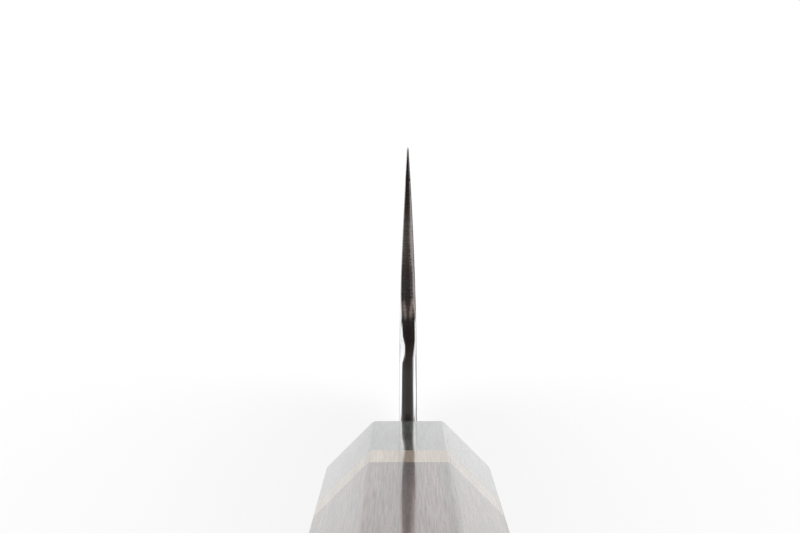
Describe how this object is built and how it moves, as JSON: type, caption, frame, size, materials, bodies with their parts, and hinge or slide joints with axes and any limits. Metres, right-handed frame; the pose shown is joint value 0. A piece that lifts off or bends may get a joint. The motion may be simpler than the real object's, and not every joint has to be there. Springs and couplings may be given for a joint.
{
  "type": "santoku knife",
  "caption": "Santoku kitchen knife with a laminated blade, convex grind and filleted choil, on a tapered octagonal handle with horn ferrule and pale spacer ring.",
  "frame": {"origin": "centre of the bounding box, at the height of the handle's back facet, on which the knife stands edge up", "axes": "+X to the right seen from the butt, +Y from the butt to the tip, +Z from the spine to the cutting edge"},
  "size_m": [0.0204, 0.329, 0.0535],
  "materials": {
    "core_steel": "hard core steel, fine polish",
    "cladding_steel": "satin, lightly hazed",
    "horn": "polished dark grey-green horn",
    "pale_wood": "pale hardwood, lacquered",
    "dark_wood": "dark hardwood, lacquered",
    "dowel_wood": "plain hardwood",
    "epoxy": "cured dark epoxy"
  },
  "bodies": {
    "root": {"blade_core": "core_steel", "left_cladding": "cladding_steel", "right_cladding": "cladding_steel", "ferrule": "horn", "spacer": "pale_wood", "handle_body": "dark_wood", "core_dowel": "dowel_wood", "tang_bedding": "epoxy", "mouth_seal": "epoxy"}
  },
  "joints": []
}
